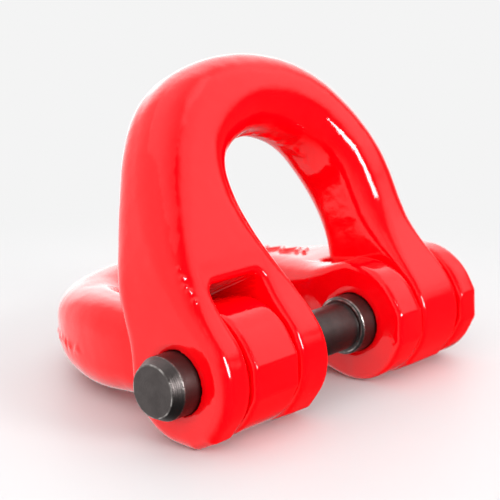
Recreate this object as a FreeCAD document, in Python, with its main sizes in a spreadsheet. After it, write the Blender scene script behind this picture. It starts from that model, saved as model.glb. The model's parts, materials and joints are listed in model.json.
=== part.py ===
"""A chain connecting link: two identical forged half links on one load pin.

Units are millimetres. X runs along the load pin, +Z is up, and the origin is the middle of the
link on the axis of its holes. Each half link is drawn upright in its own frame, with its fork on
the -X side, its tongue on the +X side and its crown at the top. The halves are the same forging,
and each one's tongue sits in the other one's fork.
"""
import FreeCAD, Part
import math
import os
import Sketcher

QUARTER_TURN = math.pi / 2
TOUCHING = 0.01
LEAST_CUT = 1.0

DIMENSIONS = {
    # Along the pin, measured from the middle plane of the link.
    "outer_face": 40.8,
    "slot_far": 34.1,
    "slot_near": 19.4,
    "inner_face": 11.7,
    "tongue_far": 33.0,
    "tongue_near": 20.5,
    # The eyes: round ends, rounded more on the link's outer faces than on the others.
    "eye_radius": 12.4,
    "outer_edge": 2.4,
    "inner_edge": 1.0,
    "slot_root": 15.0,
    "slot_corner": 2.2,
    "slot_edge": 1.1,
    "hole_radius": 6.2,
    # The land where the flash was ground off each eye's end: a wider one on the lying half.
    "upright_land_reach": 12.7,
    "upright_land_width": 5.0,
    "lying_land_reach": 12.5,
    "lying_land_width": 6.0,
    # The legs: a flank and a throat just above each eye, then a neck.
    "flank_height": 5.0,
    "flank_depth": 11.7,
    "flank_outer_edge": 2.7,
    "flank_inner_edge": 1.4,
    "throat_height": 9.9,
    "throat_depth": 10.4,
    "throat_outer_edge": 3.4,
    "throat_inner_edge": 2.3,
    "neck_height": 19.2,
    "fork_neck_depth": 9.8,
    "fork_neck_inner": 13.5,
    "fork_neck_outer": 40.6,
    "fork_neck_corner": 5.2,
    "tongue_neck_depth": 8.8,
    "tongue_neck_inner": 20.8,
    "tongue_neck_outer": 34.0,
    "tongue_neck_corner": 5.2,
    # The arch, by distance from its centre.
    "arch_height": 30.5,
    "foot_depth": 9.1,
    "fork_foot_inner": 14.3,
    "fork_foot_outer": 37.5,
    "fork_foot_corner": 7.4,
    "tongue_foot_inner": 20.3,
    "tongue_foot_outer": 33.8,
    "tongue_foot_corner": 5.6,
    "shoulder_depth": 8.7,
    "fork_shoulder_inner": 13.8,
    "fork_shoulder_outer": 32.8,
    "fork_shoulder_corner": 7.8,
    "tongue_shoulder_inner": 16.2,
    "tongue_shoulder_outer": 32.2,
    "tongue_shoulder_corner": 7.3,
    "crown_depth": 9.0,
    "crown_inner": 13.8,
    "crown_outer": 29.8,
    "crown_corner": 7.2,
    # The load pin, and how far it has moved out of its middle position.
    "pin_radius": 6.1,
    "pin_end_radius": 5.0,
    "pin_lead": 2.2,
    "pin_half_length": 42.8,
    "waist_radius": 4.95,
    "waist_bevel": 0.5,
    "pin_shift": 4.2,
    # How the halves stand, in degrees above and below the horizontal.
    "upright_angle": 62.5,
    "lying_angle": 2.7,
}

# The bow's sections, up the fork leg, over the crown and down the tongue leg. Each has its angle
# from the horizontal, the height it turns about, and the places in the sheet of its inner side,
# outer side, half depth, and the radii of its outer and inner corners.
BOW = [
    (0, "0", "inner_face", "outer_face", "eye_radius", "outer_edge", "inner_edge"),
    (0, "flank_height", "inner_face", "outer_face", "flank_depth", "flank_outer_edge",
     "flank_inner_edge"),
    (0, "throat_height", "inner_face", "outer_face", "throat_depth", "throat_outer_edge",
     "throat_inner_edge"),
    (0, "neck_height", "fork_neck_inner", "fork_neck_outer", "fork_neck_depth",
     "fork_neck_corner", "fork_neck_corner"),
    (0, "arch_height", "fork_foot_inner", "fork_foot_outer", "foot_depth",
     "fork_foot_corner", "fork_foot_corner"),
    (45, "arch_height", "fork_shoulder_inner", "fork_shoulder_outer", "shoulder_depth",
     "fork_shoulder_corner", "fork_shoulder_corner"),
    (90, "arch_height", "crown_inner", "crown_outer", "crown_depth", "crown_corner",
     "crown_corner"),
    (135, "arch_height", "tongue_shoulder_inner", "tongue_shoulder_outer", "shoulder_depth",
     "tongue_shoulder_corner", "tongue_shoulder_corner"),
    (180, "arch_height", "tongue_foot_inner", "tongue_foot_outer", "foot_depth",
     "tongue_foot_corner", "tongue_foot_corner"),
    (180, "neck_height", "tongue_neck_inner", "tongue_neck_outer", "tongue_neck_depth",
     "tongue_neck_corner", "tongue_neck_corner"),
    (180, "throat_height", "tongue_near", "tongue_far", "throat_depth", "throat_inner_edge",
     "throat_inner_edge"),
    (180, "flank_height", "tongue_near", "tongue_far", "flank_depth", "flank_inner_edge",
     "flank_inner_edge"),
    (180, "0", "tongue_near", "tongue_far", "eye_radius", "inner_edge", "inner_edge"),
]

DOCUMENT = FreeCAD.newDocument("connecting_link")


def make_sheet():
    """Put every driving dimension in a spreadsheet cell with its own alias."""
    sheet = DOCUMENT.addObject("Spreadsheet::Sheet", "sheet")
    for row, (alias, value) in enumerate(DIMENSIONS.items(), start=1):
        sheet.set(f"A{row}", alias)
        sheet.set(f"B{row}", str(value))
        sheet.setAlias(f"B{row}", alias)
    DOCUMENT.recompute()
    return sheet


SHEET = make_sheet()


def bound(formula):
    """Write a formula of spaced words as an expression on the sheet's cells."""
    return " ".join(f"sheet.{word}" if word in DIMENSIONS else word for word in formula.split())


def size_of(alias):
    return float(SHEET.get(alias))


def new_body(label):
    body = DOCUMENT.addObject("PartDesign::Body", label)
    body.Label = label
    body.AllowCompound = True
    return body


def origin_plane(body, role):
    return next(item for item in body.Origin.OriginFeatures if item.Role == role)


def new_sketch(body, name, plane_role):
    """Attach a sketch to one of the body's own origin planes."""
    sketch = body.newObject("Sketcher::SketchObject", name)
    sketch.AttachmentSupport = (origin_plane(body, plane_role), [""])
    sketch.MapMode = "FlatFace"
    return sketch


def constrain(sketch, formula, drawn, *details):
    """Add one driving dimension, as it is drawn, and bind it to the sheet."""
    index = sketch.addConstraint(Sketcher.Constraint(*details, drawn))
    sketch.setExpression(f"Constraints[{index}]", bound(formula))


def link_up(sketch, kind, *details):
    sketch.addConstraint(Sketcher.Constraint(kind, *details))


def add_line(sketch, start, end):
    first = FreeCAD.Vector(*start, 0)
    second = FreeCAD.Vector(*end, 0)
    return sketch.addGeometry(Part.LineSegment(first, second))


def add_arc(sketch, centre, radius, start, end):
    """Draw an arc anticlockwise between two angles in radians."""
    circle = Part.Circle(FreeCAD.Vector(*centre, 0), FreeCAD.Vector(0, 0, 1), radius)
    return sketch.addGeometry(Part.ArcOfCircle(circle, start, end))


def rounded_section(sketch, inner, outer, half_depth, outer_corner, inner_corner):
    """Draw a rounded rectangle about the sketch's origin, with its outer side to the left."""
    wide = (size_of(outer) - size_of(inner)) / 2
    deep = size_of(half_depth)
    left_turn = size_of(outer_corner)
    right_turn = size_of(inner_corner)
    left_x = left_turn - wide
    right_x = wide - right_turn
    left_y = deep - left_turn
    right_y = deep - right_turn
    top = add_line(sketch, (right_x, deep), (left_x, deep))
    left = add_line(sketch, (-wide, left_y), (-wide, -left_y))
    bottom = add_line(sketch, (left_x, -deep), (right_x, -deep))
    right = add_line(sketch, (wide, -right_y), (wide, right_y))
    corners = [
        (left_x, left_y, left_turn),
        (left_x, -left_y, left_turn),
        (right_x, -right_y, right_turn),
        (right_x, right_y, right_turn),
    ]
    arcs = []
    for number, (x, y, turn) in enumerate(corners, start=1):
        start = number * QUARTER_TURN
        arcs.append(add_arc(sketch, (x, y), turn, start, start + QUARTER_TURN))
    sides = [top, left, bottom, right]
    for side, arc, following in zip(sides, arcs, sides[1:] + sides[:1]):
        link_up(sketch, "Tangent", side, 2, arc, 1)
        link_up(sketch, "Tangent", arc, 2, following, 1)
    link_up(sketch, "Horizontal", top)
    link_up(sketch, "Horizontal", bottom)
    link_up(sketch, "Vertical", right)
    link_up(sketch, "Equal", arcs[0], arcs[1])
    link_up(sketch, "Equal", arcs[2], arcs[3])
    link_up(sketch, "Symmetric", left, 1, left, 2, -1)
    constrain(sketch, outer_corner, left_turn, "Radius", arcs[0])
    constrain(sketch, inner_corner, right_turn, "Radius", arcs[2])
    constrain(sketch, f"( {outer} - {inner} ) / 2", wide, "DistanceX", left, 1, -1, 1)
    constrain(sketch, f"( {outer} - {inner} ) / 2", wide, "DistanceX", -1, 1, right, 1)
    constrain(sketch, f"2 * {half_depth}", 2 * deep, "DistanceY", bottom, 1, top, 1)


def bow_section(body, name, station):
    """Place one section across the bow, turned about Y to follow it."""
    angle, height, inner, outer, half_depth, outer_corner, inner_corner = station
    sketch = new_sketch(body, name, "XY_Plane")
    turn = FreeCAD.Rotation(FreeCAD.Vector(0, 1, 0), angle)
    sketch.AttachmentOffset = FreeCAD.Placement(FreeCAD.Vector(), turn)
    middle = f"( {inner} + {outer} ) / 2"
    sketch.setExpression("AttachmentOffset.Base.x", bound(f"- cos( {angle} deg ) * {middle}"))
    sketch.setExpression(
        "AttachmentOffset.Base.z", bound(f"{height} + sin( {angle} deg ) * {middle}")
    )
    rounded_section(sketch, inner, outer, half_depth, outer_corner, inner_corner)
    return sketch


def face_edges(shape, x):
    """Name the edges of an eye's face at x, all but the straight one on the hole's axis."""
    names = []
    for number, edge in enumerate(shape.Edges, start=1):
        box = edge.BoundBox
        on_face = box.XLength < TOUCHING and abs(box.XMin - x) < TOUCHING
        if on_face and box.ZMin < -TOUCHING:
            names.append(f"Edge{number}")
    return names


def ease_face(body, name, x, radius):
    """Round the edge of an eye's face at x."""
    names = face_edges(body.Shape, x)
    easing = body.newObject("PartDesign::Fillet", name)
    easing.Base = (easing.BaseFeature, names)
    easing.setExpression("Radius", bound(radius))
    DOCUMENT.recompute()


def eye_outline(body, name, land_reach, land_width):
    """Draw an eye's lower half: round, then tangent flats down to the land across its end."""
    sketch = new_sketch(body, name, "YZ_Plane")
    radius = size_of("eye_radius")
    reach = size_of(land_reach)
    half = size_of(land_width) / 2
    lean = math.atan2(half, reach) + math.acos(radius / math.hypot(half, reach))
    touch = (radius * math.sin(lean), -radius * math.cos(lean))
    right_arc = add_arc(sketch, (0, 0), radius, lean - QUARTER_TURN, 0)
    left_arc = add_arc(sketch, (0, 0), radius, math.pi, 3 * QUARTER_TURN - lean)
    right = add_line(sketch, touch, (half, -reach))
    land = add_line(sketch, (half, -reach), (-half, -reach))
    left = add_line(sketch, (-half, -reach), (-touch[0], touch[1]))
    top = add_line(sketch, (-radius, 0), (radius, 0))
    for arc in (right_arc, left_arc):
        link_up(sketch, "Coincident", arc, 3, -1, 1)
    link_up(sketch, "Equal", right_arc, left_arc)
    link_up(sketch, "Tangent", right_arc, 1, right, 1)
    link_up(sketch, "Tangent", left_arc, 2, left, 2)
    link_up(sketch, "Coincident", right, 2, land, 1)
    link_up(sketch, "Coincident", land, 2, left, 1)
    link_up(sketch, "Coincident", right_arc, 2, top, 2)
    link_up(sketch, "Coincident", left_arc, 1, top, 1)
    link_up(sketch, "PointOnObject", top, 1, -1)
    link_up(sketch, "PointOnObject", top, 2, -1)
    link_up(sketch, "Symmetric", land, 1, land, 2, -2)
    constrain(sketch, "eye_radius", radius, "Radius", right_arc)
    constrain(sketch, land_width, 2 * half, "DistanceX", land, 2, land, 1)
    constrain(sketch, land_reach, reach, "DistanceY", land, 1, -1, 1)
    return sketch


def add_eye(body, name, side, near, far, far_edge, land_reach, land_width):
    """Pad one eye's lower half outwards from its near face, and round its two faces' edges."""
    sketch = eye_outline(body, f"{name}_outline", land_reach, land_width)
    sketch.setExpression("AttachmentOffset.Base.z", bound(f"{side} * {near}"))
    pad = body.newObject("PartDesign::Pad", name)
    pad.Profile = sketch
    pad.Reversed = side < 0
    pad.setExpression("Length", bound(f"{far} - {near}"))
    DOCUMENT.recompute()
    ease_face(body, f"{name}_near_easing", side * size_of(near), "inner_edge")
    ease_face(body, f"{name}_far_easing", side * size_of(far), far_edge)


def add_bow(body, name):
    """Loft the two legs and the arch as one run of sections."""
    sketches = []
    for number, station in enumerate(BOW, start=1):
        sketches.append(bow_section(body, f"{name}_section_{number:02d}", station))
    loft = body.newObject("PartDesign::AdditiveLoft", name)
    loft.Profile = sketches[0]
    loft.Sections = sketches[1:]
    loft.Ruled = False
    DOCUMENT.recompute()


def cut_through(body, name, sketch):
    """Cut a sketch right through the body, both ways from its plane."""
    before = body.Shape.Volume
    pocket = body.newObject("PartDesign::Pocket", name)
    pocket.Profile = sketch
    pocket.Type = "ThroughAll"
    pocket.Midplane = True
    DOCUMENT.recompute()
    if not body.Shape.Volume < before - LEAST_CUT:
        raise RuntimeError(f"{name} cut nothing")
    return pocket


def cut_slot(body, name):
    """Open the fork: a slot with round corners at its root."""
    sketch = new_sketch(body, f"{name}_outline", "XZ_Plane")
    far = size_of("slot_far")
    near = size_of("slot_near")
    root = size_of("slot_root")
    corner = size_of("slot_corner")
    foot = size_of("outer_face")
    left = add_line(sketch, (-far, root - corner), (-far, -foot))
    bottom = add_line(sketch, (-far, -foot), (-near, -foot))
    right = add_line(sketch, (-near, -foot), (-near, root - corner))
    near_arc = add_arc(sketch, (-near - corner, root - corner), corner, 0, QUARTER_TURN)
    top = add_line(sketch, (-near - corner, root), (-far + corner, root))
    far_arc = add_arc(sketch, (-far + corner, root - corner), corner, QUARTER_TURN, math.pi)
    link_up(sketch, "Coincident", left, 2, bottom, 1)
    link_up(sketch, "Coincident", bottom, 2, right, 1)
    link_up(sketch, "Tangent", right, 2, near_arc, 1)
    link_up(sketch, "Tangent", near_arc, 2, top, 1)
    link_up(sketch, "Tangent", top, 2, far_arc, 1)
    link_up(sketch, "Tangent", far_arc, 2, left, 1)
    link_up(sketch, "Equal", near_arc, far_arc)
    for line in (left, right):
        link_up(sketch, "Vertical", line)
    for line in (top, bottom):
        link_up(sketch, "Horizontal", line)
    constrain(sketch, "slot_corner", corner, "Radius", near_arc)
    constrain(sketch, "slot_far", far, "DistanceX", left, 1, -1, 1)
    constrain(sketch, "slot_near", near, "DistanceX", right, 1, -1, 1)
    constrain(sketch, "slot_root", root, "DistanceY", -1, 1, top, 1)
    constrain(sketch, "outer_face", foot, "DistanceY", bottom, 1, -1, 1)
    return cut_through(body, name, sketch)


def ease_slot_mouth(body, name, slot):
    """Round the edges where the slot's walls and root come out through the leg."""
    far_wall = -size_of("slot_far")
    near_wall = -size_of("slot_near")
    root = size_of("slot_root")
    names = []
    for number, edge in enumerate(slot.Shape.Edges, start=1):
        box = edge.BoundBox
        to_wall = min(abs(box.XMin - far_wall), abs(box.XMin - near_wall))
        flat_x = box.XLength < TOUCHING
        flat_z = box.ZLength < TOUCHING
        on_wall = flat_x and to_wall < TOUCHING
        on_root = flat_z and abs(box.ZMin - root) < TOUCHING
        in_slot = far_wall < box.XMin and box.XMax < near_wall and box.ZMax < root + TOUCHING
        if (on_wall or on_root or in_slot) and not (flat_x and flat_z):
            names.append(f"Edge{number}")
    easing = body.newObject("PartDesign::Fillet", name)
    easing.Base = (slot, names)
    easing.setExpression("Radius", bound("slot_edge"))
    DOCUMENT.recompute()


def cut_pin_holes(body, name):
    sketch = new_sketch(body, f"{name}_outline", "YZ_Plane")
    radius = size_of("hole_radius")
    ring = sketch.addGeometry(Part.Circle(FreeCAD.Vector(), FreeCAD.Vector(0, 0, 1), radius))
    link_up(sketch, "Coincident", ring, 3, -1, 1)
    constrain(sketch, "hole_radius", radius, "Radius", ring)
    cut_through(body, name, sketch)


def half_link(label, land_reach, land_width):
    """Build one forged half link, upright in its own frame."""
    body = new_body(label)
    land = (land_reach, land_width)
    add_eye(body, f"{label}_fork", -1, "inner_face", "outer_face", "outer_edge", *land)
    add_eye(body, f"{label}_tongue", 1, "tongue_near", "tongue_far", "inner_edge", *land)
    add_bow(body, f"{label}_bow")
    slot = cut_slot(body, f"{label}_slot")
    ease_slot_mouth(body, f"{label}_slot_easing", slot)
    cut_pin_holes(body, f"{label}_holes")
    return body


def load_pin(label):
    """Turn the pin: plain ends with tapered leads, and a thinner waist between the eyes."""
    body = new_body(label)
    sketch = new_sketch(body, f"{label}_outline", "XZ_Plane")
    length = size_of("pin_half_length")
    lead = size_of("pin_lead")
    step = size_of("inner_face")
    bevel = size_of("waist_bevel")
    radius = size_of("pin_radius")
    waist = size_of("waist_radius")
    end_radius = size_of("pin_end_radius")
    outline = [
        (0, 0),
        (0, waist),
        (step, waist),
        (step, radius - bevel),
        (step + bevel, radius),
        (length - lead, radius),
        (length, end_radius),
        (length, 0),
    ]
    lines = []
    for start, end in zip(outline, outline[1:] + outline[:1]):
        lines.append(add_line(sketch, start, end))
    for line, following in zip(lines, lines[1:] + lines[:1]):
        link_up(sketch, "Coincident", line, 2, following, 1)
    middle, neck, shoulder, edge, plain, taper, end, axis = lines
    for line in (middle, shoulder, end):
        link_up(sketch, "Vertical", line)
    for line in (neck, plain, axis):
        link_up(sketch, "Horizontal", line)
    link_up(sketch, "Coincident", middle, 1, -1, 1)
    constrain(sketch, "waist_radius", waist, "DistanceY", middle, 1, middle, 2)
    constrain(sketch, "inner_face", step, "DistanceX", -1, 1, shoulder, 1)
    constrain(sketch, "waist_bevel", bevel, "DistanceX", edge, 1, edge, 2)
    constrain(sketch, "waist_bevel", bevel, "DistanceY", edge, 1, edge, 2)
    constrain(sketch, "pin_radius", radius, "DistanceY", -1, 1, plain, 1)
    constrain(sketch, "pin_lead", lead, "DistanceX", taper, 1, taper, 2)
    constrain(sketch, "pin_end_radius", end_radius, "DistanceY", end, 2, end, 1)
    constrain(sketch, "pin_half_length", length, "DistanceX", -1, 1, end, 2)
    turning = body.newObject("PartDesign::Revolution", f"{label}_turning")
    turning.Profile = sketch
    turning.ReferenceAxis = (sketch, ["H_Axis"])
    turning.Angle = 360
    DOCUMENT.recompute()
    other_end = body.newObject("PartDesign::Mirrored", f"{label}_other_end")
    other_end.Originals = [turning]
    other_end.MirrorPlane = (origin_plane(body, "YZ_Plane"), [""])
    body.Tip = other_end
    DOCUMENT.recompute()
    return body


def place(body, shift, spin, tilt):
    """Spin a body about Z, tilt it about X, then shift it along the pin."""
    about_z = FreeCAD.Rotation(FreeCAD.Vector(0, 0, 1), spin)
    about_x = FreeCAD.Rotation(FreeCAD.Vector(1, 0, 0), tilt)
    body.Placement = FreeCAD.Placement(FreeCAD.Vector(shift, 0, 0), about_x.multiply(about_z))


def check(bodies):
    """Stop if anything in the document failed, or a sub-part isn't one valid solid."""
    for item in DOCUMENT.Objects:
        if "Invalid" in item.State or "Error" in item.State:
            raise RuntimeError(f"{item.Label} is {item.State}")
    for body in bodies:
        if body.Shape.isNull() or not body.Shape.isValid() or len(body.Shape.Solids) != 1:
            raise RuntimeError(f"{body.Label} is not one valid solid")


def export(bodies):
    """Write one STEP file for each sub-part."""
    os.makedirs("parts", exist_ok=True)
    for body in bodies:
        body.Shape.exportStep(f"parts/{body.Label}.step")


upright = half_link("upright_half_link", "upright_land_reach", "upright_land_width")
lying = half_link("lying_half_link", "lying_land_reach", "lying_land_width")
pin = load_pin("load_pin")

place(upright, 0, 0, size_of("upright_angle") - 90)
place(lying, 0, 180, -90 - size_of("lying_angle"))
place(pin, -size_of("pin_shift"), 0, 0)
DOCUMENT.recompute()

check([upright, lying, pin])
export([upright, lying, pin])
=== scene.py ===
"""A chain connecting link in glossy red enamel, folded on a pale floor.

The scene is in metres, in the frame of the CAD model: X runs along the load pin and +Z is up. The
sizes of the paint and of the pin are written in millimetres and scaled by MM.
"""
import json
import math

import bmesh
import bpy
import numpy as np
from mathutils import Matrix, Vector, noise


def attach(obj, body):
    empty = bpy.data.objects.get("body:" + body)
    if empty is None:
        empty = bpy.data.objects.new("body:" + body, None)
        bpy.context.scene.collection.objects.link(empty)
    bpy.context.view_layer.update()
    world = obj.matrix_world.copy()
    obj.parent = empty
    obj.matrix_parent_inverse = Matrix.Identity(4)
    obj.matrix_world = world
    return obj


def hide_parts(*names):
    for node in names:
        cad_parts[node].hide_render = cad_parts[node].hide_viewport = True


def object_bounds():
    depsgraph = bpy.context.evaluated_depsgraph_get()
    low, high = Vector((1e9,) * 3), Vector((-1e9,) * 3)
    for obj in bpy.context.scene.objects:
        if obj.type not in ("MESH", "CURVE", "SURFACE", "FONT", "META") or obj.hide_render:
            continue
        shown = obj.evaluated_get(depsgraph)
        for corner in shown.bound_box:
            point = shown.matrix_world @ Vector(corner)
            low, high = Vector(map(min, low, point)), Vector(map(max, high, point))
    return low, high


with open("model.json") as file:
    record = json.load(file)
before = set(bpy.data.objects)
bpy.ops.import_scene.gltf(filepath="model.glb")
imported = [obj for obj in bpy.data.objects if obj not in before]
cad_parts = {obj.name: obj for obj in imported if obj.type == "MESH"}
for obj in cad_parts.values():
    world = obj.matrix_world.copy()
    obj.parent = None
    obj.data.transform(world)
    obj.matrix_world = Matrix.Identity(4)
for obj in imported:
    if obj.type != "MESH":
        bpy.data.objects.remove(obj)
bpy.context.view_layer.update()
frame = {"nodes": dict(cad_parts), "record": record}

MM = 0.001
MOUNTS = {mount["name"]: mount for mount in frame["record"]["mounts"]}

# The paint on the forgings, in millimetres: the size of its faces, how far it stands proud, how
# far it keeps off the hole's axis, and where along the pin the tongues run in the forks.
VOXEL = 0.34
PAINT = 0.17
HOLE_EDGE = (6.5, 7.6)
JOINT_NEAR = (17.5, 18.5)
JOINT_FAR = (35.0, 36.0)
JOINT_REACH = (19.0, 22.0)

# How many times the new faces are smoothed.
SOFTENING_PASSES = 3

# The forging's waviness: height and wavelength in millimetres, and a seed for the noise.
WAVES = [(0.10, 9.0, 3.7), (0.04, 3.2, 8.1), (0.013, 1.3, 2.9)]

# The ragged flash line on the crown, in millimetres: its height, middle and width, and where it
# starts along the link and ends on the fork's side. Its grain is a wavelength and a noise seed.
FLASH_HEIGHT = 0.30
FLASH_MIDDLE = -1.5
FLASH_WIDTH = 0.9
FLASH_START = (32.0, 40.0)
FLASH_END = (4.0, 10.0)
FLASH_GRAIN = (1.6, 5.3)

# Paint drops on the upright half's fork leg, in millimetres: distance out and distance along.
DROPLETS = [(38.9, 19.1), (38.8, 17.4), (39.1, 15.7), (38.8, 14.7), (38.7, 12.7)]
DROPLET_RADIUS = 0.65
DROPLET_HEIGHT = 0.30

# Plain raised bars on the lying half's fork leg: distance out and distance along in millimetres,
# and the way each bar leans. TICK_LEAN is the lean in radians.
TICKS = [(26.5, 24.5, 1), (26.5, 26.7, 1), (26.5, 28.9, -1), (26.3, 31.3, 1), (26.0, 33.6, -1),
         (25.7, 35.9, 1)]
TICK_HALF_LENGTH = 2.3
TICK_HALF_WIDTH = 0.55
TICK_LEAN = 0.5
TICK_HEIGHT = 0.60

# The pin's outline, in millimetres from its middle: distance along the pin, and radius.
PIN_OUTLINE = [(0, 4.95), (11.7, 4.95), (11.7, 5.6), (12.2, 6.1), (40.6, 6.1), (42.8, 5.0),
               (42.8, 0.0)]
PIN_MIDDLE = -4.2
PIN_EASING = 0.14
PIN_SEGMENTS = 128
CORNER_STEPS = 4

# The camera: where it stands in metres, the direction it looks in, lens and sensor in millimetres,
# focus distance in metres, and f-number.
CAMERA_PLACE = (-0.2131, -0.1711, 0.0845)
CAMERA_AHEAD = (0.7260, 0.6452, -0.2378)
LENS = 100.64
SENSOR = 36
FOCUS = 0.265
STOP = 45

# The point that the soft lights face, in metres.
LIGHTS_AIM = (0, 0.015, 0.02)

# The pale floor, and the even tone that it fades into away from the link. The fade is between two
# distances from FLOOR_CENTRE, in metres.
PALE_TONE = 0.905
FLOOR_SIZE = 6.0
FLOOR_CENTRE = (0, 0.02)
FLOOR_FADE = (0.05, 0.17)


# ---------------------------------------------------------------- node helpers

def new_material(name):
    material = bpy.data.materials.new(name)
    material.use_nodes = True
    nodes = material.node_tree.nodes
    nodes.clear()
    return material, nodes, material.node_tree.links


def add_node(nodes, kind, **values):
    """Add a shader node, then set its inputs and properties by name."""
    node = nodes.new(kind)
    for name, value in values.items():
        label = name.replace("_", " ")
        if label in node.inputs:
            node.inputs[label].default_value = value
        else:
            setattr(node, name, value)
    return node


def noise_texture(nodes, links, place, scale, detail=3.0, roughness=0.5, distortion=0.0):
    texture = add_node(nodes, "ShaderNodeTexNoise", Scale=scale, Detail=detail,
                       Roughness=roughness, Distortion=distortion)
    links.new(place, texture.inputs["Vector"])
    return texture.outputs["Fac"]


def map_range(nodes, links, value, low, high, to_low, to_high):
    node = add_node(nodes, "ShaderNodeMapRange", From_Min=low, From_Max=high, To_Min=to_low,
                    To_Max=to_high)
    links.new(value, node.inputs["Value"])
    return node.outputs["Result"]


def multiply(nodes, links, first, second):
    node = add_node(nodes, "ShaderNodeMath", operation="MULTIPLY")
    links.new(first, node.inputs[0])
    links.new(second, node.inputs[1])
    return node.outputs["Value"]


def bump(nodes, links, height, strength, distance, under=None):
    node = add_node(nodes, "ShaderNodeBump", Strength=strength, Distance=distance)
    links.new(height, node.inputs["Height"])
    if under is not None:
        links.new(under, node.inputs["Normal"])
    return node.outputs["Normal"]


def mix_colour(nodes, links, factor, first, second):
    node = add_node(nodes, "ShaderNodeMix", data_type="RGBA")
    links.new(factor, node.inputs["Factor"])
    node.inputs[6].default_value = first
    node.inputs[7].default_value = second
    return node.outputs[2]


def surface(nodes, links, shader):
    output = add_node(nodes, "ShaderNodeOutputMaterial")
    links.new(shader, output.inputs["Surface"])


# ---------------------------------------------------------------- materials

def red_enamel():
    """Thick glossy red enamel: slow ripples, orange peel, and a slightly uneven gloss."""
    material, nodes, links = new_material("red_enamel")
    place = add_node(nodes, "ShaderNodeTexCoord").outputs["Object"]
    shader = add_node(nodes, "ShaderNodeBsdfPrincipled", IOR=1.5, Specular_IOR_Level=0.38)
    tint = mix_colour(nodes, links, noise_texture(nodes, links, place, 90),
                      (0.86, 0.0, 0.002, 1), (0.93, 0.0, 0.004, 1))
    links.new(tint, shader.inputs["Base Color"])
    slow = bump(nodes, links, noise_texture(nodes, links, place, 210, 2.0), 0.20, 0.0004)
    fine = bump(nodes, links, noise_texture(nodes, links, place, 900), 0.18, 0.0001, slow)
    links.new(fine, shader.inputs["Normal"])
    uneven = noise_texture(nodes, links, place, 160, 4.0)
    gloss = map_range(nodes, links, uneven, 0.3, 0.7, 0.04, 0.11)
    links.new(gloss, shader.inputs["Roughness"])
    surface(nodes, links, shader.outputs["BSDF"])
    return material


def blackened_steel():
    """Turned black steel with fine turning marks, and light edges that are partly wear, partly a
    painted highlight.
    """
    material, nodes, links = new_material("blackened_steel")
    place = add_node(nodes, "ShaderNodeTexCoord").outputs["Object"]
    shader = add_node(nodes, "ShaderNodeBsdfPrincipled", Metallic=1.0)
    worn_and_glinting = add_node(nodes, "ShaderNodeAttribute", attribute_name="wear_and_glint").outputs["Fac"]
    patches = map_range(nodes, links, noise_texture(nodes, links, place, 700, 5.0), 0.46, 0.66,
                        0.10, 0.9)
    wear_and_glint = multiply(nodes, links, worn_and_glinting, patches)
    cloud = mix_colour(nodes, links, noise_texture(nodes, links, place, 300, 6.0, 0.7),
                       (0.042, 0.035, 0.034, 1), (0.125, 0.108, 0.105, 1))
    bare_and_glint = add_node(nodes, "ShaderNodeMix", data_type="RGBA")
    links.new(wear_and_glint, bare_and_glint.inputs["Factor"])
    links.new(cloud, bare_and_glint.inputs[6])
    # Light bare steel on the outward edges: partly edge wear, partly a painted highlight along the
    # edges.
    bare_and_glint.inputs[7].default_value = (0.44, 0.41, 0.39, 1)
    links.new(bare_and_glint.outputs[2], shader.inputs["Base Color"])
    links.new(map_range(nodes, links, wear_and_glint, 0, 1, 0.42, 0.24), shader.inputs["Roughness"])
    turns = add_node(nodes, "ShaderNodeTexWave", wave_type="BANDS", bands_direction="X",
                     Scale=900.0, Distortion=3.0, Detail=3.0, Detail_Scale=2.0)
    rings = add_node(nodes, "ShaderNodeTexWave", wave_type="RINGS", rings_direction="X",
                     Scale=700.0, Distortion=2.0, Detail=2.0)
    for texture in (turns, rings):
        links.new(place, texture.inputs["Vector"])
    along = bump(nodes, links, turns.outputs["Fac"], 0.25, 0.00005)
    across = bump(nodes, links, rings.outputs["Fac"], 0.20, 0.00005, along)
    pitted = bump(nodes, links, noise_texture(nodes, links, place, 2500, 4.0), 0.35, 0.00006,
                  across)
    links.new(pitted, shader.inputs["Normal"])
    surface(nodes, links, shader.outputs["BSDF"])
    return material


# ---------------------------------------------------------------- forged halves

def ease(low, high, value):
    """Rise smoothly from 0 at low to 1 at high."""
    part = np.clip((value - low) / (high - low), 0, 1)
    return part * part * (3 - 2 * part)


def grain(points, wavelength, seed):
    """Read smooth noise between -1 and 1 at points in millimetres."""
    shift = Vector((seed, 2.0 * seed, -seed))
    return np.array([noise.noise(Vector(point) / wavelength + shift) for point in points])


def apply_modifiers(piece):
    """Replace the piece's mesh by what its modifiers make of it."""
    graph = bpy.context.evaluated_depsgraph_get()
    made = bpy.data.meshes.new_from_object(piece.evaluated_get(graph))
    piece.modifiers.clear()
    piece.data = made


def remeshed(piece):
    """Give the piece small even faces, and soften its edges a little."""
    welded = bmesh.new()
    welded.from_mesh(piece.data)
    bmesh.ops.remove_doubles(welded, verts=welded.verts, dist=0.005 * MM)
    welded.to_mesh(piece.data)
    welded.free()
    remesh = piece.modifiers.new("remesh", "REMESH")
    remesh.mode = "VOXEL"
    remesh.voxel_size = VOXEL * MM
    soften = piece.modifiers.new("soften", "SMOOTH")
    soften.factor = 0.5
    soften.iterations = SOFTENING_PASSES
    apply_modifiers(piece)


def read_vectors(collection, name):
    values = np.empty(3 * len(collection), dtype=np.float32)
    collection.foreach_get(name, values)
    return values.reshape(-1, 3).astype(float)


def bumps_at(out, along, places, radius, height):
    """Raise round bumps on the front face at places given as (distance out, distance along)."""
    raised = np.zeros(len(out))
    for place_out, place_along in places:
        away = np.hypot(out - place_out, along - place_along) / radius
        raised = np.maximum(raised, height * (1 - ease(0.2, 1.0, away)))
    return raised


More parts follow.
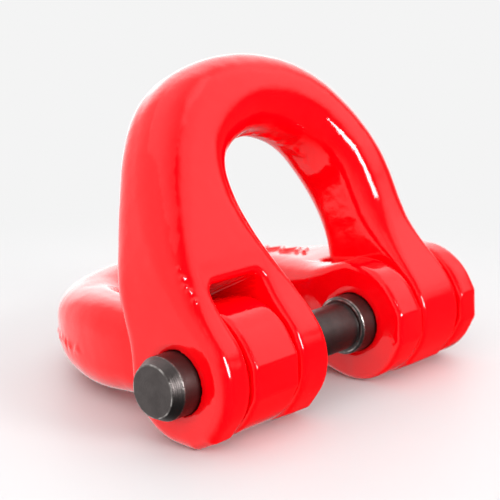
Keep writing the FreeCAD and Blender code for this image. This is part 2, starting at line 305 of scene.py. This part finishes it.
def bars_at(out, along, places):
    """Raise short slanting bars on the front face at (distance out, distance along, lean)."""
    raised = np.zeros(len(out))
    for place_out, place_along, lean in places:
        turn = TICK_LEAN * lean
        right = out - place_out
        up = along - place_along
        long_way = right * math.cos(turn) + up * math.sin(turn)
        short_way = up * math.cos(turn) - right * math.sin(turn)
        inside = 1 - ease(0.6, 1.0, np.abs(short_way) / TICK_HALF_WIDTH)
        inside *= 1 - ease(0.85, 1.0, np.abs(long_way) / TICK_HALF_LENGTH)
        raised = np.maximum(raised, TICK_HEIGHT * inside)
    return raised


def forged_half(node, body, saddle, fork_side, material, droplets=(), ticks=()):
    """Copy one half link, then add its paint, its forged waviness and its trimmed flash line."""
    piece = bpy.data.objects.new(f"{node}_enamelled", frame["nodes"][node].data.copy())
    bpy.context.scene.collection.objects.link(piece)
    remeshed(piece)
    mesh = piece.data
    up = -np.array(MOUNTS[saddle]["axis"])
    front = np.cross((1.0, 0.0, 0.0), up)
    points = read_vectors(mesh.vertices, "co") / MM
    normals = read_vectors(mesh.vertex_normals, "vector")
    out = points[:, 0] * fork_side
    along = points @ up
    forward = points @ front
    facing = normals @ front
    from_axis = np.hypot(along, forward)

    coated = ease(*HOLE_EDGE, from_axis)
    in_joint = ease(*JOINT_NEAR, np.abs(out)) * (1 - ease(*JOINT_FAR, np.abs(out)))
    in_joint *= 1 - ease(*JOINT_REACH, from_axis)
    free = coated * (1 - 0.75 * in_joint)
    waves = sum(height * grain(points, length, seed) for height, length, seed in WAVES)
    offset = coated * PAINT * (1 - 0.5 * in_joint) + free * waves

    over_crown = ease(*FLASH_START, along) * (1 - ease(*FLASH_END, out))
    on_edge = 1 - ease(0.45, 0.8, np.abs(facing))
    ragged = ease(0.30, 0.6, 0.5 + 0.5 * grain(points, *FLASH_GRAIN))
    flash = FLASH_HEIGHT * np.exp(-((forward - FLASH_MIDDLE) / FLASH_WIDTH) ** 2) * ragged
    offset += flash * over_crown * on_edge

    on_front = ease(0.6, 0.8, facing)
    offset += on_front * bumps_at(out, along, droplets, DROPLET_RADIUS, DROPLET_HEIGHT)
    offset += on_front * bars_at(out, along, ticks)

    moved = (points + normals * offset[:, None]) * MM
    mesh.vertices.foreach_set("co", moved.astype(np.float32).ravel())
    mesh.polygons.foreach_set("use_smooth", [True] * len(mesh.polygons))
    mesh.materials.clear()
    mesh.materials.append(material)
    mesh.update()
    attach(piece, body)
    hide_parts(node)


# ---------------------------------------------------------------- load pin

def eased_outline():
    """Round the pin's outline corners; list (distance, radius, edge wear and painted highlight)
    points.
    """
    points = [Vector(place) for place in PIN_OUTLINE]
    eased = [(*points[0], 0.0)]
    for before, corner, after in zip(points, points[1:], points[2:]):
        back = (before - corner).normalized()
        on = (after - corner).normalized()
        outwards = back.x * on.y - back.y * on.x > 0
        reach = min(PIN_EASING, 0.4 * (before - corner).length, 0.4 * (after - corner).length)
        # Outward corners get the light steel colour: partly edge wear, partly a painted highlight.
        worn_and_glinting = 1.0 if outwards else 0.0
        eased.append((*(corner + back * reach * 1.8), 0.0))
        for step in range(CORNER_STEPS + 1):
            part = step / CORNER_STEPS
            curved = back * (1 - part) ** 2 + on * part ** 2
            eased.append((*(corner + curved * reach), worn_and_glinting))
        eased.append((*(corner + on * reach * 1.8), 0.0))
    eased.append((*points[-1], 0.0))
    mirrored = [(-x, radius, worn_and_glinting) for x, radius, worn_and_glinting in reversed(eased[1:])]
    return mirrored + eased


def turned_pin(material):
    """Turn the load pin from its outline, with softened corners carrying wear and a painted
    highlight.
    """
    outline = eased_outline()
    vertices = []
    faces = []
    wear_and_glint = []
    for x, radius, worn_and_glinting in outline:
        for step in range(PIN_SEGMENTS):
            turn = 2 * math.pi * step / PIN_SEGMENTS
            vertices.append(((PIN_MIDDLE + x) * MM, radius * MM * math.cos(turn),
                             radius * MM * math.sin(turn)))
            wear_and_glint.append(worn_and_glinting)
    for ring in range(len(outline) - 1):
        first = ring * PIN_SEGMENTS
        for step in range(PIN_SEGMENTS):
            following = (step + 1) % PIN_SEGMENTS
            faces.append((first + step, first + following, first + PIN_SEGMENTS + following,
                          first + PIN_SEGMENTS + step))
    mesh = bpy.data.meshes.new("load_pin_turned")
    mesh.from_pydata(vertices, [], faces)
    attribute = mesh.attributes.new("wear_and_glint", "FLOAT", "POINT")
    attribute.data.foreach_set("value", wear_and_glint)
    joined = bmesh.new()
    joined.from_mesh(mesh)
    bmesh.ops.remove_doubles(joined, verts=joined.verts, dist=0.0005 * MM)
    bmesh.ops.recalc_face_normals(joined, faces=joined.faces)
    joined.to_mesh(mesh)
    joined.free()
    mesh.polygons.foreach_set("use_smooth", [True] * len(mesh.polygons))
    mesh.materials.append(material)
    piece = bpy.data.objects.new("load_pin_turned", mesh)
    bpy.context.scene.collection.objects.link(piece)
    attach(piece, "pin")
    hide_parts("load_pin")


ENAMEL = red_enamel()
STEEL = blackened_steel()
forged_half("upright_half_link", "upright_half", "upright_bow_saddle", -1, ENAMEL,
            droplets=DROPLETS)
forged_half("lying_half_link", "lying_half", "lying_bow_saddle", 1, ENAMEL, ticks=TICKS)
turned_pin(STEEL)


# ---------------------------------------------------------------- floor, light and camera

def make_floor():
    """Lay a pale floor that fades into an even tone away from the link."""
    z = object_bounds()[0].z
    size = FLOOR_SIZE
    mesh = bpy.data.meshes.new("floor")
    mesh.from_pydata([(-size, -size, z), (size, -size, z), (size, size, z), (-size, size, z)], [],
                     [(0, 1, 2, 3)])
    floor = bpy.data.objects.new("floor", mesh)
    bpy.context.scene.collection.objects.link(floor)
    material, nodes, links = new_material("pale_floor")
    near = add_node(nodes, "ShaderNodeBsdfPrincipled", Roughness=0.5, Specular_IOR_Level=0.2)
    near.inputs["Base Color"].default_value = (0.61, 0.605, 0.61, 1)
    far = add_node(nodes, "ShaderNodeEmission", Strength=PALE_TONE)
    place = add_node(nodes, "ShaderNodeNewGeometry").outputs["Position"]
    away = add_node(nodes, "ShaderNodeVectorMath", operation="DISTANCE")
    links.new(place, away.inputs[0])
    away.inputs[1].default_value = (*FLOOR_CENTRE, z)
    fade = map_range(nodes, links, away.outputs["Value"], *FLOOR_FADE, 0, 1)
    fade.node.interpolation_type = "SMOOTHSTEP"
    mix = add_node(nodes, "ShaderNodeMixShader")
    links.new(fade, mix.inputs["Fac"])
    links.new(near.outputs["BSDF"], mix.inputs[1])
    links.new(far.outputs["Emission"], mix.inputs[2])
    surface(nodes, links, mix.outputs["Shader"])
    mesh.materials.append(material)
    floor.visible_glossy = False


def soft_light(name, direction, distance, size, radiance, lights_up=True, reflected=True):
    """Hang a rectangular soft light that faces the link from a direction."""
    data = bpy.data.lights.new(name, "AREA")
    data.shape = "RECTANGLE"
    data.size, data.size_y = size
    data.energy = radiance * size[0] * size[1] * math.pi
    light = bpy.data.objects.new(name, data)
    way = Vector(direction).normalized()
    light.location = Vector(LIGHTS_AIM) + way * distance
    light.rotation_euler = (-way).to_track_quat("-Z", "Y").to_euler()
    bpy.context.scene.collection.objects.link(light)
    light.visible_camera = False
    light.visible_diffuse = lights_up
    light.visible_glossy = reflected


def soft_glow(nodes, links, towards, direction, edge, core, dark, bright):
    """Brighten a part of the surroundings round a direction, from a soft edge to its core."""
    aim = add_node(nodes, "ShaderNodeVectorMath", operation="DOT_PRODUCT")
    links.new(towards, aim.inputs[0])
    aim.inputs[1].default_value = Vector(direction).normalized()
    glow = map_range(nodes, links, aim.outputs["Value"], edge, core, dark, bright)
    glow.node.interpolation_type = "SMOOTHSTEP"
    return glow


def make_world():
    """Surround the link with an even light; reflections see a bright side and a dark side."""
    world = bpy.data.worlds.new("studio")
    bpy.context.scene.world = world
    world.use_nodes = True
    nodes, links = world.node_tree.nodes, world.node_tree.links
    nodes.clear()
    white = (1, 1, 1, 1)
    seen = add_node(nodes, "ShaderNodeBackground", Color=white, Strength=PALE_TONE)
    ambient = add_node(nodes, "ShaderNodeBackground", Color=white, Strength=0.95)
    mirrored = add_node(nodes, "ShaderNodeBackground", Color=white)
    towards = add_node(nodes, "ShaderNodeTexCoord").outputs["Generated"]
    back_left = soft_glow(nodes, links, towards, (-0.50, 0.85, 0.15), -0.30, 0.60, 0.08, 1.15)
    behind = soft_glow(nodes, links, towards, (0.726, 0.645, 0.45), 0.70, 0.93, 0.0, 1.5)
    right = soft_glow(nodes, links, towards, (0.726, -0.54, 0.84), 0.82, 0.97, 0.0, 1.3)
    sides = add_node(nodes, "ShaderNodeMath", operation="ADD")
    links.new(back_left, sides.inputs[0])
    links.new(behind, sides.inputs[1])
    glow = add_node(nodes, "ShaderNodeMath", operation="ADD")
    links.new(sides.outputs["Value"], glow.inputs[0])
    links.new(right, glow.inputs[1])
    links.new(glow.outputs["Value"], mirrored.inputs["Strength"])
    path = add_node(nodes, "ShaderNodeLightPath")
    unseen = add_node(nodes, "ShaderNodeMixShader")
    links.new(path.outputs["Is Glossy Ray"], unseen.inputs["Fac"])
    links.new(ambient.outputs["Background"], unseen.inputs[1])
    links.new(mirrored.outputs["Background"], unseen.inputs[2])
    mix = add_node(nodes, "ShaderNodeMixShader")
    links.new(path.outputs["Is Camera Ray"], mix.inputs["Fac"])
    links.new(unseen.outputs["Shader"], mix.inputs[1])
    links.new(seen.outputs["Background"], mix.inputs[2])
    output = add_node(nodes, "ShaderNodeOutputWorld")
    links.new(mix.outputs["Shader"], output.inputs["Surface"])


def make_camera():
    data = bpy.data.cameras.new("camera")
    data.sensor_width = SENSOR
    data.lens = LENS
    data.clip_start = 0.01
    data.dof.use_dof = True
    data.dof.focus_distance = FOCUS
    data.dof.aperture_fstop = STOP
    camera = bpy.data.objects.new("camera", data)
    camera.location = CAMERA_PLACE
    camera.rotation_euler = Vector(CAMERA_AHEAD).to_track_quat("-Z", "Y").to_euler()
    bpy.context.scene.collection.objects.link(camera)
    bpy.context.scene.camera = camera


make_floor()
make_world()
make_camera()
soft_light("overhead", (0.0, 0.1, 1.0), 0.8, (1.0, 1.0), 0.5)
soft_light("left_fill", (-0.9, -0.45, 0.55), 1.0, (0.9, 0.7), 2.6, reflected=False)
soft_light("front", (0.06, -0.95, 0.30), 1.0, (0.32, 0.42), 18, reflected=False)
soft_light("key", (0.02, -0.93, 0.34), 1.0, (0.26, 0.36), 40, lights_up=False)

bpy.context.scene.view_settings.view_transform = "Standard"
